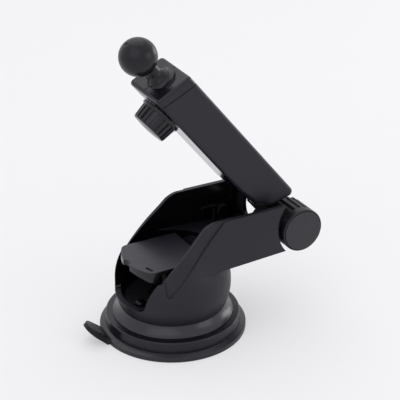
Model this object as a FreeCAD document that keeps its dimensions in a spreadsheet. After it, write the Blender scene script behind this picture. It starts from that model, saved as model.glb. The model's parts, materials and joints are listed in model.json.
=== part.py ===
"""Suction phone mount with a folding, telescopic arm and a 17 mm ball.

Units are millimetres. The origin is the centre of the suction cup's bottom face, +Z is up, the lever opens
towards -X and the arm hinges at +X about an axis along Y. The big hinge knob is on the -Y side.
"""
import FreeCAD, Part
import math
import os
import re
import Sketcher
from FreeCAD import Rotation, Vector

SIZES = [
    # suction cup, gel and pull tab
    ("cup_radius", 34.3), ("cup_rim_height", 2.0), ("cup_top", 3.0), ("gel_radius", 32.2),
    ("gel_thickness", 0.8), ("hub_radius", 9.0), ("hub_top", 6.4), ("guide_low", 7.0), ("well_radius", 7.0),
    ("well_floor", 3.2), ("tab_width", 12.0), ("tab_length", 12.0), ("tab_thickness", 2.0),
    ("tab_lift", 43.0), ("tab_turn", 5.0), ("tab_tip_radius", 5.2),
    # ring, skirt and base plate
    ("ring_radius", 31.4), ("ring_top", 8.2), ("ring_floor", 5.0), ("ring_inner_radius", 23.8),
    ("ring_edge", 0.7), ("skirt_foot_radius", 28.2), ("skirt_lip", 0.6), ("skirt_top_radius", 24.6),
    ("skirt_wall", 2.0), ("shell_foot", 13.1), ("plate_radius", 22.3), ("plate_thickness", 2.4),
    ("screw_circle", 17.0), ("screw_boss_radius", 3.0), ("screw_head_radius", 2.6),
    ("screw_head_height", 1.9), ("screw_shank_radius", 1.4), ("fit_gap", 0.15), ("slide_gap", 0.06),
    # housing shells
    ("foot_radius", 24.9), ("belly_radius", 27.2), ("belly_height", 23.5), ("waist_radius", 24.6),
    ("waist_height", 35.8), ("chest_radius", 21.2), ("chest_height", 47.0), ("crown_radius", 19.8),
    ("crown_height", 58.0), ("tail_reach", 52.0), ("tail_low_half", 21.0), ("tail_mid_half", 20.2),
    ("tail_top_half", 19.6), ("shell_wall", 2.4), ("floor_top", 15.3), ("trough_floor", 38.2),
    ("seam_gap", 0.15), ("rim_low", 34.3), ("rim_start", 15.7), ("rim_top_start", 8.7),
    ("rim_bend_radius", 8.0), ("band_width", 7.8), ("band_depth", 0.7), ("band_front", 14.5),
    ("mouth_sill", 19.2), ("mouth_low_half", 15.6), ("mouth_high_half", 18.9), ("mouth_corner", 4.5),
    ("near_end_centre", 61.0), ("far_end_centre", 63.4), ("end_height", 46.5), ("end_radius", 16.5),
    ("flange_half_gap", 12.5), ("flange_thickness", 1.8), ("flange_top", 52.0), ("post_radius", 2.8),
    ("low_post_reach", 19.0), ("low_post_height", 19.0), ("high_post_reach", 19.4),
    ("high_post_height", 31.0), ("boss_reach", 36.3), ("boss_height", 43.3), ("boss_radius", 2.9),
    ("boss_length", 2.2), ("rib_thickness", 1.0), ("rib_depth", 1.2), ("shell_screw_reach", 7.0),
    ("sleeve_wall", 1.2), ("post_clearance", 1.2),
    # lever, stem and spring
    ("lever_pivot", 26.0), ("lever_top", 38.7), ("lever_plate", 2.0), ("lever_half", 15.1),
    ("lever_front_radius", 23.5), ("lever_back", 9.5), ("lever_corner", 4.0), ("lip_low", 33.0),
    ("lip_arch", 36.0), ("lip_wall", 2.6), ("cheek_inner", 6.0), ("cheek_outer", 9.5),
    ("cheek_front", 8.5), ("cheek_back", 4.5), ("cam_radius", 7.2), ("cam_back", 1.93),
    ("cam_drop", 2.3), ("stem_radius", 4.0), ("stem_top", 30.5), ("foot_plate_radius", 6.6),
    ("foot_plate_low", 3.5), ("foot_plate_thickness", 1.2), ("bush_radius", 5.5),
    ("pin_radius", 1.5), ("pin_half", 9.3), ("wear_radius", 13.0), ("wear_thickness", 0.8),
    ("spring_wall", 0.5), ("spring_clearance", 0.1), ("thumb_notch_half", 3.0), ("thumb_notch_depth", 1.8),
    ("slot_half", 2.2), ("slot_width", 1.3), ("slot_depth", 0.6), ("slot_offset", 11.0),
    ("slot_reach", 17.4),
    # arm hinge: distances along the hinge axis are measured from the middle plane towards -Y
    ("pivot_reach", 57.4), ("pivot_height", 44.1), ("arm_tilt", 50.7), ("ear_radius", 8.9),
    ("ear_near", 2.8), ("ear_far", 0.6), ("disc_thickness", 0.75), ("turn_gap", 0.3),
    ("bracket_thickness", 4.0), ("bracket_radius", 8.6), ("bracket_back", 27.0),
    ("bracket_foot_back", 25.0), ("bracket_foot_front", 42.0), ("bracket_foot_half", 7.0),
    ("bracket_foot_thickness", 2.2), ("bracket_screw_bite", 1.8),
    ("bracket_screw_side", 3.8), ("bracket_screw_margin", 4.0), ("bolt_radius", 2.5),
    ("bolt_head_radius", 4.6), ("bolt_head_height", 3.2), ("bolt_reach", 16.6), ("washer_radius", 8.0),
    ("washer_thickness", 1.0), ("knob_radius", 10.4), ("knob_near", 21.2), ("flute_count", 20),
    ("flute_radius", 1.15), ("flute_depth", 0.85), ("knob_collar", 3.6), ("insert_radius", 5.0),
    ("insert_start", 6.0), ("insert_length", 11.0), ("cap_disc_radius", 9.5),
    ("cap_disc_thickness", 1.6), ("cap_disc_proud", 0.3),
    # arm casing, slider and ball: heights are measured along the arm from the hinge axis
    ("arm_half", 12.0), ("arm_under", 7.6), ("arm_back", 10.9), ("casing_low_back", 10.3),
    ("casing_corner_in", 1.5), ("casing_corner", 16.0), ("casing_curve_in", 6.7),
    ("casing_curve", 23.5), ("casing_straight", 35.0), ("seam_under", 97.3), ("seam_back", 93.0),
    ("casing_edge", 1.9), ("casing_corner_radius", 4.0), ("casing_back_radius", 2.4),
    ("casing_wall", 2.2), ("back_wall", 5.0),
    ("cavity_low", 24.2), ("neck_under", 6.8), ("neck_back", 5.6), ("neck_top", 20.0),
    ("flange_high", 22.4), ("flange_half", 7.0), ("casing_screw_inset", 2.6),
    ("casing_screw_radius", 1.25), ("casing_head_radius", 2.2), ("casing_head_depth", 4.0),
    ("casing_screw_first", 32.0), ("casing_screw_pitch", 27.0), ("rail_gap", 0.3),
    ("rail_low", 24.6), ("rail_top", 92.5), ("tongue_inset", 1.2), ("tongue_top", 98.8),
    ("rack_first", 36.0), ("rack_pitch", 2.6), ("rack_count", 21), ("rack_depth", 0.7),
    ("rack_width", 1.2), ("rack_half", 6.0), ("cap_gap", 0.35), ("cap_under_top", 103.2),
    ("cap_back_top", 99.6), ("cap_far_rise", 1.4), ("crease_width", 0.3), ("crease_depth", 0.25),
    ("cap_edge", 1.5), ("ball_offset", 1.6),
    ("ball_height", 116.6), ("ball_radius", 8.5), ("neck_radius", 3.5), ("neck_base_radius", 5.2),
    ("neck_base", 102.7), ("neck_waist", 106.0), ("stud_bolt_radius", 2.6), ("dimple_radius", 1.3),
    ("dimple_depth", 0.35), ("cap_screw_radius", 0.8), ("cap_screw_head", 1.2),
    ("cap_screw_inset", 1.6), ("cap_screw_length", 6.5), ("cap_screw_height", 97.7),
    ("cap_boss_radius", 7.6), ("stud_low", 88.0),
    # extension lock: distances along its axis are measured outwards from the middle plane of the arm
    ("lock_height", 88.0), ("lock_collar_radius", 9.8), ("lock_collar", 1.5), ("lock_radius", 9.1),
    ("lock_face_radius", 8.1), ("lock_length", 8.6), ("lock_gap", 0.35), ("lock_ribs", 20),
    ("lock_groove", 0.8), ("shoe_half", 3.2), ("shoe_low", 5.4), ("shoe_thickness", 0.8),
    ("nut_radius", 5.0), ("nut_low", 7.1), ("nut_high", 10.6), ("lock_screw_radius", 2.0),
    ("lock_tip_radius", 1.2), ("lock_press_radius", 3.0), ("lock_press_high", 14.8),
    ("lock_dome", 0.7), ("lock_slot", 1.3),
]
FAR = "80"  # longer than any cut through the part
BRACKET_SCREWS = ("bracket_foot_back + bracket_screw_margin", "bracket_foot_front - bracket_screw_margin")


document = FreeCAD.newDocument("phone_mount")
sheet = document.addObject("Spreadsheet::Sheet", "Sizes")
for row, (alias, size) in enumerate(SIZES, start=1):
    sheet.set(f"A{row}", alias)
    sheet.set(f"B{row}", str(size))
    sheet.setAlias(f"B{row}", alias)
document.recompute()

WORDS = re.compile(r"\b(" + "|".join(alias for alias, _ in SIZES) + r")\b")
NODES = []


def cells(rule):
    """Turn a rule written with plain size names into a FreeCAD expression."""
    return WORDS.sub(r"Sizes.\1", str(rule))


def number(rule):
    """Give the present value of a rule."""
    result = sheet.evalExpression(cells(rule))
    return float(getattr(result, "Value", result))


def bind(thing, prop, rule):
    thing.setExpression(prop, cells(rule))


def place(thing, x="0", y="0", z="0", axis=None, angle="0"):
    """Bind an object's placement: first the turn about an axis, then the shift."""
    if axis is not None:
        thing.Placement = FreeCAD.Placement(Vector(), Rotation(axis, number(angle)))
        bind(thing, "Placement.Rotation.Angle", angle)
    for letter, rule in (("x", x), ("y", y), ("z", z)):
        bind(thing, "Placement.Base." + letter, rule)
    return thing


def keep(thing, label):
    """Mark an object as a finished piece, which gets a file of its own."""
    thing.Label = label
    NODES.append(thing)
    return thing


# ---------------------------------------------------------------- bodies, sketches and features

def new_body(name):
    return document.addObject("PartDesign::Body", name + "_body")


def new_sketch(body, role, offset="0"):
    """A sketch on one of the body's own origin planes, moved along that plane's normal."""
    sketch = body.newObject("Sketcher::SketchObject", body.Name + "_sketch")
    plane = next(item for item in body.Origin.OriginFeatures if item.Role == role)
    sketch.AttachmentSupport = [(plane, "")]
    sketch.MapMode = "FlatFace"
    bind(sketch, "AttachmentOffset.Base.z", offset)
    return sketch


def pin_point(sketch, edge, end, point):
    """Hold one end of an edge at the two rules of a point."""
    for kind, rule in (("DistanceX", point[0]), ("DistanceY", point[1])):
        index = sketch.addConstraint(Sketcher.Constraint(kind, -1, 1, edge, end, number(rule)))
        bind(sketch, f"Constraints[{index}]", rule)


def here(point):
    return Vector(number(point[0]), number(point[1]), 0)


def left_turning(first, middle, last):
    """The arc through three points as a sketch holds it, and whether it runs from the first."""
    forward = (middle - first).cross(last - middle).z > 0
    start, end = (first, last) if forward else (last, first)
    centre = Part.Arc(first, middle, last).toShape().Curve.Center
    spoke = start - centre
    sweep = spoke.getAngle(end - centre)
    if spoke.cross(end - centre).z < 0:
        sweep = 2 * math.pi - sweep
    angle = math.atan2(spoke.y, spoke.x)
    circle = Part.Circle(centre, Vector(0, 0, 1), spoke.Length)
    return Part.ArcOfCircle(circle, angle, angle + sweep), forward


def outline(sketch, *corners):
    """A closed outline. A corner written as ("arc", x, y) is a point in the middle of an arc."""
    edges = []
    count = len(corners)
    for index, corner in enumerate(corners):
        after = corners[(index + 1) % count]
        if corner[0] == "arc":
            continue
        if after[0] == "arc":
            final = corners[(index + 2) % count]
            middle = after[1:]
            curve, forward = left_turning(here(corner), here(middle), here(final))
            edge = sketch.addGeometry(curve)
            mark = sketch.addGeometry(Part.Point(here(middle)), True)
            edges.append((edge, 1 if forward else 2, 2 if forward else 1, corner))
            pin_point(sketch, mark, 1, middle)
            sketch.addConstraint(Sketcher.Constraint("PointOnObject", mark, 1, edge))
        else:
            edge = sketch.addGeometry(Part.LineSegment(here(corner), here(after)))
            edges.append((edge, 1, 2, corner))
    for index, (edge, start, end, corner) in enumerate(edges):
        following = edges[(index + 1) % len(edges)]
        sketch.addConstraint(Sketcher.Constraint("Coincident", edge, end, following[0], following[1]))
        pin_point(sketch, edge, start, corner)
    return sketch


def ring_line(sketch, radius, x="0", y="0"):
    """A full circle with its centre and radius bound to rules."""
    circle = sketch.addGeometry(Part.Circle(here((x, y)), Vector(0, 0, 1), number(radius)))
    pin_point(sketch, circle, 3, (x, y))
    index = sketch.addConstraint(Sketcher.Constraint("Radius", circle, number(radius)))
    bind(sketch, f"Constraints[{index}]", radius)
    return sketch


def pad(body, sketch, length, both=False, back=False):
    feature = body.newObject("PartDesign::Pad", body.Name + "_pad")
    feature.Profile = sketch
    feature.SideType = "Symmetric" if both else "One side"
    feature.Reversed = back
    bind(feature, "Length", length)
    return feature


def pocket(body, sketch, length=FAR, both=False, back=False):
    """Cut along the sketch's normal reversed, as FreeCAD does, or the other way with back."""
    before = body_volume(body)
    feature = body.newObject("PartDesign::Pocket", body.Name + "_pocket")
    feature.Profile = sketch
    feature.SideType = "Symmetric" if both else "One side"
    feature.Reversed = back
    bind(feature, "Length", length)
    document.recompute()
    if not body_volume(body) < before - 1e-6:
        raise RuntimeError(f"{feature.Name} cuts nothing")
    return feature


def body_volume(body):
    document.recompute()
    return body.Shape.Volume


def revolve(body, sketch, cut=False):
    kind = "PartDesign::Groove" if cut else "PartDesign::Revolution"
    feature = body.newObject(kind, body.Name + ("_groove" if cut else "_turning"))
    feature.Profile = sketch
    feature.ReferenceAxis = (sketch, ["V_Axis"])
    feature.Angle = 360.0
    return feature


def turned(name, *corners):
    """A body turned about its own Z axis from a half section of (radius, height) corners."""
    body = new_body(name)
    revolve(body, outline(new_sketch(body, "XZ_Plane"), *corners))
    return body


def around(body, feature, count):
    """Repeat a feature about the body's Z axis."""
    pattern = body.newObject("PartDesign::PolarPattern", body.Name + "_pattern")
    pattern.Originals = [feature]
    pattern.Axis = (feature.Profile[0], ["N_Axis"])
    pattern.Angle = 360.0
    bind(pattern, "Occurrences", count)
    body.Tip = pattern
    return pattern


def soften(body, radius, test, chamfer=False):
    """Round or bevel every edge of the body's tip that passes the test."""
    document.recompute()
    base = body.Tip
    names = [f"Edge{i}" for i, edge in enumerate(base.Shape.Edges, start=1) if test(edge)]
    if not names:
        raise RuntimeError(f"{body.Name} has no edge to soften")
    kind = "PartDesign::Chamfer" if chamfer else "PartDesign::Fillet"
    feature = body.newObject(kind, body.Name + "_edge")
    feature.Base = (base, names)
    bind(feature, "Size" if chamfer else "Radius", radius)
    document.recompute()
    return feature


def near(value, rule, slack=0.02):
    return abs(value - number(rule)) < slack


def circle_at(radius, height):
    """Test for a full turned edge of that radius at that height."""
    def test(edge):
        box = edge.BoundBox
        return near(box.ZMax, height) and near(box.ZMin, height) and near(box.XMax, radius)
    return test


def block(name, x0, x1, y0, y1, z0, z1):
    """A box between two rules on each axis."""
    box = document.addObject("Part::Box", name)
    for prop, low, high in (("Length", x0, x1), ("Width", y0, y1), ("Height", z0, z1)):
        bind(box, prop, f"({high}) - ({low})")
    return place(box, x0, y0, z0)


def rod(name, radius, length, **where):
    cylinder = document.addObject("Part::Cylinder", name)
    bind(cylinder, "Radius", radius)
    bind(cylinder, "Height", length)
    return place(cylinder, **where)


def cut(name, base, tool):
    result = document.addObject("Part::Cut", name)
    result.Base = base
    result.Tool = tool
    return result


def common(name, first, second):
    result = document.addObject("Part::MultiCommon", name)
    result.Shapes = [first, second]
    return result


def fuse(name, *shapes):
    result = document.addObject("Part::MultiFuse", name)
    result.Shapes = list(shapes)
    return result


def group(name, shapes):
    """Separate solids kept together as one node."""
    result = document.addObject("Part::Compound", name)
    result.Links = shapes
    return result


def on_hinge(thing, distance="0"):
    """Stand a piece's Z axis on the arm hinge, pointing to the near side (-Y)."""
    return place(thing, "pivot_reach", f"-({distance})", "pivot_height", Vector(1, 0, 0), "90")


def in_arm(thing):
    """Put a piece drawn with the arm upright over the hinge at the arm's resting tilt."""
    return place(thing, "pivot_reach", "0", "pivot_height", Vector(0, 1, 0), "arm_tilt - 90")


def on_lock(thing):
    """Stand a piece's Z axis on the extension lock's axis, pointing out of the underside."""
    return place(
        thing,
        "pivot_reach - cos(arm_tilt * 1deg) * lock_height",
        "0",
        "pivot_height + sin(arm_tilt * 1deg) * lock_height",
        Vector(0, 1, 0),
        "arm_tilt - 180",
    )


# ---------------------------------------------------------------- suction base

def suction_cup():
    """Rubber cup with a well for the stem's foot plate and a bent-up pull tab."""
    body = turned(
        "suction_cup",
        ("0", "gel_thickness"), ("gel_radius + fit_gap", "gel_thickness"),
        ("gel_radius + fit_gap", "0"), ("cup_radius", "0"), ("cup_radius", "cup_rim_height"),
        ("ring_radius + 0.2", "cup_top"), ("hub_radius", "cup_top"), ("hub_radius", "hub_top"),
        ("well_radius", "hub_top"), ("well_radius", "well_floor"), ("0", "well_floor"),
    )
    run = "tab_length * cos(tab_lift * 1deg)"
    rise = "tab_length * sin(tab_lift * 1deg)"
    across = "tab_thickness * sin(tab_lift * 1deg)"
    up = "tab_thickness * cos(tab_lift * 1deg)"
    root = "cup_radius - 1.6"
    knee = "cup_radius + 0.6"
    profile = outline(
        new_sketch(body, "XZ_Plane"),
        (f"-({root})", "0.1"), (f"-({knee})", "0.1"), (f"-({knee}) - {run}", f"0.1 + {rise}"),
        (f"-({knee}) - {run} + {across}", f"0.1 + {rise} + {up}"),
        (f"-({root})", "0.1 + tab_thickness - 0.1"),
    )
    pad(body, profile, "tab_width", both=True)

    def tip_side(edge):
        box = edge.BoundBox
        far_out = box.XMax < -number(f"({knee}) + {run} - {across} - 0.1")
        return far_out and near(abs(box.YMin), "tab_width / 2") and near(box.YLength, 0)

    soften(body, "tab_tip_radius", tip_side)
    place(body, axis=Vector(0, 0, 1), angle="-tab_turn")
    keep(body, "suction_cup")


def gel_layer():
    body = turned("gel_layer", ("0", "0"), ("gel_radius", "0"), ("gel_radius", "gel_thickness"),
                  ("0", "gel_thickness"))
    keep(body, "gel_layer")


def pressure_ring():
    """Stepped ring that presses on the cup; the skirt stands on it."""
    body = turned(
        "pressure_ring",
        ("hub_radius + 0.7", "cup_top"), ("ring_radius", "cup_top"), ("ring_radius", "ring_top"),
        ("ring_inner_radius", "ring_top"), ("ring_inner_radius", "ring_floor"),
        ("hub_radius + 0.7", "ring_floor"),
    )
    soften(body, "ring_edge", circle_at("ring_radius", "ring_top"))
    keep(body, "pressure_ring")


def flared_skirt():
    """Thin glossy cone between the ring and the housing."""
    body = turned(
        "flared_skirt",
        ("skirt_foot_radius - skirt_wall - 0.6", "ring_top"), ("skirt_foot_radius", "ring_top"),
        ("skirt_foot_radius", "ring_top + skirt_lip"),
        ("arc", "(skirt_foot_radius + skirt_top_radius) / 2 - 0.35",
         "(ring_top + skirt_lip + shell_foot) / 2 - 0.35"),
        ("skirt_top_radius", "shell_foot"), ("skirt_top_radius - skirt_wall", "shell_foot"),
    )
    keep(body, "flared_skirt")


def base_plate():
    """Plate that carries the shells, with the stem's guide hub and three screw bosses."""
    underside = "shell_foot - plate_thickness"
    hub_low = "guide_low"
    body = turned(
        "base_plate",
        ("bush_radius + 0.05", hub_low), ("hub_radius", hub_low), ("hub_radius", underside),
        ("plate_radius - 2", underside), ("plate_radius - 2", "ring_floor"),
        ("plate_radius", "ring_floor"), ("plate_radius", "shell_foot"),
        ("bush_radius + 0.05", "shell_foot"),
    )
    boss = pad(body, ring_line(new_sketch(body, "XY_Plane", hub_low), "screw_boss_radius",
                               "-screw_circle"), f"{underside} - ({hub_low}) + 0.1")
    around(body, boss, "3")
    hole_sketch = new_sketch(body, "XY_Plane", "shell_foot")
    ring_line(hole_sketch, "screw_shank_radius + 0.05", "-screw_circle")
    around(body, pocket(body, hole_sketch, "shell_foot - ring_floor"), "3")
    keep(body, "base_plate")


def screw(name, head_radius, head_height, shank_radius, shank_length, cross="0.55"):
    """One screw with its head's seat at Z = 0, a domed head and a cross recess."""
    body = turned(
        name,
        ("0", f"-({shank_length})"), (f"({shank_radius}) * 0.55", f"-({shank_length})"),
        (shank_radius, f"-({shank_length}) + ({shank_radius})"), (shank_radius, "0"),
        (head_radius, "0"), (head_radius, f"({head_height}) * 0.45"),
        ("arc", f"({head_radius}) * 0.72", f"({head_height}) * 0.87"),
        (f"({head_radius}) * 0.1", head_height),
        ("0", head_height),
    )
    arm, half_width = f"({head_radius}) * {cross}", f"({head_radius}) * 0.13"
    for wide, slim in ((arm, half_width), (half_width, arm)):
        recess = outline(
            new_sketch(body, "XY_Plane", head_height),
            (f"-({wide})", f"-({slim})"), (wide, f"-({slim})"), (wide, slim), (f"-({wide})", slim),
        )
        pocket(body, recess, f"({head_height}) * 0.6")
    return body


def base_screws():
    """Three screws, a third of a turn apart, through the housing floor."""
    screws = []
    for index in range(3):
        turn = f"180 + {index} * 120"
        item = screw(f"base_screw_{index + 1}", "screw_head_radius", "screw_head_height",
                     "screw_shank_radius", "floor_top - hub_top - 1")
        place(item, f"screw_circle * cos(({turn}) * 1deg)", f"screw_circle * sin(({turn}) * 1deg)",
              "floor_top", Vector(0, 0, 1), turn)
        screws.append(item)
    keep(group("base_screw_set", screws), "base_screws")


# ---------------------------------------------------------------- housing shells

def teardrop(body, height, radius, half, reach="tail_reach"):
    """A plan section: round at the front, tangent sides, straight across the tail."""
    sketch = new_sketch(body, "XY_Plane", height)
    r, w, x = number(radius), number(half), number(reach)
    span = (x * x + w * w) ** 0.5
    from_x = (r * x - w * (span * span - r * r) ** 0.5) / (span * span)
    touch_x = r * from_x
    touch_y = (r * r - touch_x * touch_x) ** 0.5
    front, _ = left_turning(Vector(touch_x, touch_y, 0), Vector(-r, 0, 0), Vector(touch_x, -touch_y, 0))
    arc = sketch.addGeometry(front)
    low = sketch.addGeometry(Part.LineSegment(Vector(touch_x, -touch_y, 0), Vector(x, -w, 0)))
    tail = sketch.addGeometry(Part.LineSegment(Vector(x, -w, 0), Vector(x, w, 0)))
    high = sketch.addGeometry(Part.LineSegment(Vector(x, w, 0), Vector(touch_x, touch_y, 0)))
    sketch.addConstraint(Sketcher.Constraint("Coincident", arc, 3, -1, 1))
    sketch.addConstraint(Sketcher.Constraint("Tangent", arc, 2, low, 1))
    sketch.addConstraint(Sketcher.Constraint("Coincident", low, 2, tail, 1))
    sketch.addConstraint(Sketcher.Constraint("Coincident", tail, 2, high, 1))
    sketch.addConstraint(Sketcher.Constraint("Tangent", high, 2, arc, 1))
    index = sketch.addConstraint(Sketcher.Constraint("Radius", arc, r))
    bind(sketch, f"Constraints[{index}]", radius)
    pin_point(sketch, tail, 1, (reach, f"-({half})"))
    pin_point(sketch, tail, 2, (reach, half))
    return sketch


def loft(body, sections, cutting=False):
    kind = "PartDesign::SubtractiveLoft" if cutting else "PartDesign::AdditiveLoft"
    feature = body.newObject(kind, body.Name + "_loft")
    feature.Profile = sections[0]
    feature.Sections = sections[1:]
    feature.Ruled = False
    return feature


LEVELS = (
    ("waist_height", "waist_radius", "tail_low_half"),
    ("chest_height", "chest_radius", "tail_mid_half"),
    ("crown_height", "crown_radius", "tail_top_half"),
)


def barrel(body, inset, low, high, cutting=False):
    """The round lower body, as a turned barrel, from one height to another."""
    sketch = outline(
        new_sketch(body, "XZ_Plane"),
        ("0", low), (f"foot_radius - ({inset})", low),
        ("arc", f"belly_radius - ({inset})", "belly_height"),
        (f"waist_radius - ({inset})", high), ("0", high),
    )
    return revolve(body, sketch, cutting)


def outer_form(name, inset="0"):
    """The solid outer shape of the housing before it is hollowed."""
    body = new_body(name)
    barrel(body, inset, "shell_foot", "waist_height")
    loft(body, [teardrop(body, height, f"{radius} - ({inset})", f"{half} - ({inset})")
                for height, radius, half in LEVELS])
    return body


def rim_rise(x):
    """Height of the slanted rim's line at a place along X."""
    return f"(rim_low + (({x}) + rim_start) * (crown_height - rim_low) / (rim_top_start + rim_start))"


def prism(name, *corners, length="2 * " + FAR):
    """A solid with a side outline in X and Z, even about the middle plane."""
    body = new_body(name)
    pad(body, outline(new_sketch(body, "XZ_Plane"), *corners), length, both=True)
    return body


def above_rim():
    """Space above the walls: low front, slant, rounded bend and level top."""
    bend_start = "rim_top_start - rim_bend_radius * 0.3"
    return prism(
        "above_rim",
        ("-60", "rim_low"), ("-rim_start", "rim_low"), (bend_start, rim_rise(bend_start)),
        ("arc", "rim_top_start + 0.35", "crown_height - 0.75"),
        ("rim_top_start + rim_bend_radius * 0.42", "crown_height"),
        ("tail_reach + 9", "crown_height"), ("tail_reach + 9", "crown_height + 9"),
        ("-60", "crown_height + 9"),
    )


def rim_band():
    """The strip along the slanted rim where the sides stand back a little."""
    return prism(
        "rim_band",
        ("-band_front", "rim_low + 30"),
        ("-band_front", rim_rise("-band_front") + " - band_width + 2.4"),
        ("arc", "-band_front + 0.75", rim_rise("-band_front") + " - band_width + 1.15"),
        ("-band_front + 2.2", rim_rise("-band_front + 2.2") + " - band_width"),
        ("rim_top_start + 9", rim_rise("rim_top_start + 9") + " - band_width"),
        ("rim_top_start + 9", "crown_height + 20"),
    )


def mouth():
    """The finger opening in the front, wider at the top."""
    body = new_body("mouth")
    profile = outline(
        new_sketch(body, "YZ_Plane", "-10"),
        ("-mouth_low_half + mouth_corner", "mouth_sill"),
        ("mouth_low_half - mouth_corner", "mouth_sill"),
        ("arc", "mouth_low_half - mouth_corner * 0.22", "mouth_sill + mouth_corner * 0.32"),
        ("mouth_low_half + 0.4", "mouth_sill + mouth_corner"),
        ("mouth_high_half", "rim_low + 1"), ("-mouth_high_half", "rim_low + 1"),
        ("-mouth_low_half - 0.4", "mouth_sill + mouth_corner"),
        ("arc", "-mouth_low_half + mouth_corner * 0.22", "mouth_sill + mouth_corner * 0.32"),
    )
    pad(body, profile, "60", back=True)
    return body


def hollow():
    """The lever's chamber and the trough between the walls, open at the top and the tail."""
    body = new_body("hollow")
    barrel(body, "shell_wall", "floor_top", "trough_floor")
    heights = {"waist_height": "trough_floor", "crown_height": "crown_height + 1"}
    sections = [
        teardrop(body, heights.get(height, height), f"{radius} - shell_wall", f"{half} - shell_wall",
                 "tail_reach + 4")
        for height, radius, half in LEVELS
    ]
    loft(body, sections)
    return body


def y_rod(name, radius, reach, height, low, high):
    """A round rod along Y between two places."""
    return rod(name, radius, f"({high}) - ({low})", x=reach, y=high, z=height,
               axis=Vector(1, 0, 0), angle="90")


def end_flange(name, centre, side):
    """Upright lip inside a wall's end, following the hollow end."""
    inner = y_rod(name + "_inner", "end_radius", centre, "end_height", "-40", "40")
    outer = y_rod(name + "_outer", "end_radius + flange_thickness", centre, "end_height", "-40", "40")
    limits = ("flange_half_gap", "tail_mid_half - shell_wall + 0.6")
    y0, y1 = limits if side > 0 else (f"-({limits[1]})", f"-({limits[0]})")
    window = block(name + "_window", "pivot_reach - 25", "pivot_reach - 4", y0, y1,
                   "trough_floor - 0.5", "flange_top")
    return common(name, cut(name + "_strip", outer, inner), window)


def housing_blank():
    """Both shells as one solid, before the seam is cut."""
    full = outer_form("housing")
    slim = outer_form("housing_slim", "band_depth")
    band = rim_band()
    stepped = fuse("housing_stepped", cut("housing_plain", full, band),
                   common("housing_band", slim, band))
    floor_hole = rod("stem_opening", "bush_radius + 0.7", "8", z="shell_foot - 3")
    spaces = fuse(
        "housing_spaces", hollow(), above_rim(), mouth(), floor_hole,
        common("near_end", y_rod("near_end_rod", "end_radius", "near_end_centre", "end_height",
                                 "-60", "0"),
               block("near_end_block", "0", "120", "-60", "0", "0", "100")),
        common("far_end", y_rod("far_end_rod", "end_radius", "far_end_centre", "end_height",
                                "0", "60"),
               block("far_end_block", "0", "120", "0", "60", "0", "100")),
        *[rod(f"floor_screw_hole_{index}", "screw_shank_radius + 0.15", "8",
              x=f"screw_circle * cos((180 + {index} * 120) * 1deg)",
              y=f"screw_circle * sin((180 + {index} * 120) * 1deg)", z="shell_foot - 3")
          for index in range(3)],
        *[rod(f"bracket_hole_{index}", "screw_shank_radius + 0.05", "bracket_screw_bite + 0.2", x=x,
              y="-bracket_screw_side", z="trough_floor - bracket_screw_bite - 0.1")
          for index, x in enumerate(BRACKET_SCREWS)],
        tail_trim(),
    )
    return cut("housing_blank", stepped, spaces)


def tail_trim():
    """Space beyond the tail's upper and lower corners."""
    return block("tail_trim", "tail_reach - 1.5", "tail_reach + 20", "-60", "60", "0", "100")


def shells():
    """Near and far shells, each with posts, ribs and a lip, meeting at the middle seam."""
    blank = housing_blank()
    inner_half = "tail_mid_half - shell_wall"
    posts = {
        "low": ("low_post_reach", "low_post_height"), "high": ("high_post_reach", "high_post_height"),
    }
    within_walls = outer_form("post_limit", "shell_wall / 2")
    for label, side in (("near_shell", -1), ("far_shell", 1)):
        y0, y1 = ("-60", "-seam_gap / 2") if side < 0 else ("seam_gap / 2", "60")
        half = common(label + "_half", blank, block(label + "_side", "-60", "90", y0, y1, "0", "90"))
        extras = [half]
        for name, (reach, height) in posts.items():
            low, high = ("seam_gap / 2", "40") if side > 0 else ("-40", "-seam_gap / 2")
            post = y_rod(f"{label}_{name}_post_rod", "post_radius", reach, height, low, high)
            if side > 0:
                sleeve = y_rod(f"{label}_{name}_sleeve", "screw_head_radius + sleeve_wall", reach, height,
                               shell_screw_seat(name) + " - sleeve_wall", "40")
                post = fuse(f"{label}_{name}_stepped_post", post, sleeve)
            extras.append(common(f"{label}_{name}_post", post, within_walls))
        centre = "far_end_centre" if side > 0 else "near_end_centre"
        extras.append(end_flange(label + "_lip", centre, side))
        if side > 0:
            boss = y_rod("wall_boss", "boss_radius", "boss_reach", "boss_height",
                         f"{inner_half} - boss_length", f"{inner_half} + 0.8")
            upright = block("wall_rib_upright", "boss_reach - 4.6", "boss_reach - 4.6 + rib_thickness",
                            f"{inner_half} - rib_depth", f"{inner_half} + 0.8", "trough_floor - 0.5",
                            "boss_height + 3.4")
            level = block("wall_rib_level", "boss_reach - 11", "boss_reach - 4",
                          f"{inner_half} - rib_depth", f"{inner_half} + 0.8", "boss_height + 2.6",
                          "boss_height + 2.6 + rib_thickness")
            extras += [boss, upright, level]
        solid = fuse(label + "_solid", *extras)
        holes = []
        for name, (reach, height) in posts.items():
            radius = "screw_shank_radius + 0.1" if side > 0 else "screw_shank_radius + 0.05"
            low, high = ("-1", "40") if side > 0 else ("-shell_screw_reach - 0.4", "1")
            holes.append(y_rod(f"{label}_{name}_hole", radius, reach, height, low, high))
            if side > 0:
                holes.append(y_rod(f"{label}_{name}_sink", "screw_head_radius + 0.25", reach, height,
                                   shell_screw_seat(name), "40"))
        keep(cut(label + "_piece", solid, fuse(label + "_holes", *holes)), label)


def shell_screw_seat(name):
    """Where a shell screw's head sits: just under the far shell's outer face."""
    return (f"(sqrt((waist_radius + post_clearance) ^ 2 - ({name}_post_reach + screw_head_radius) ^ 2)"
            " - screw_head_height)")


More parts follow.
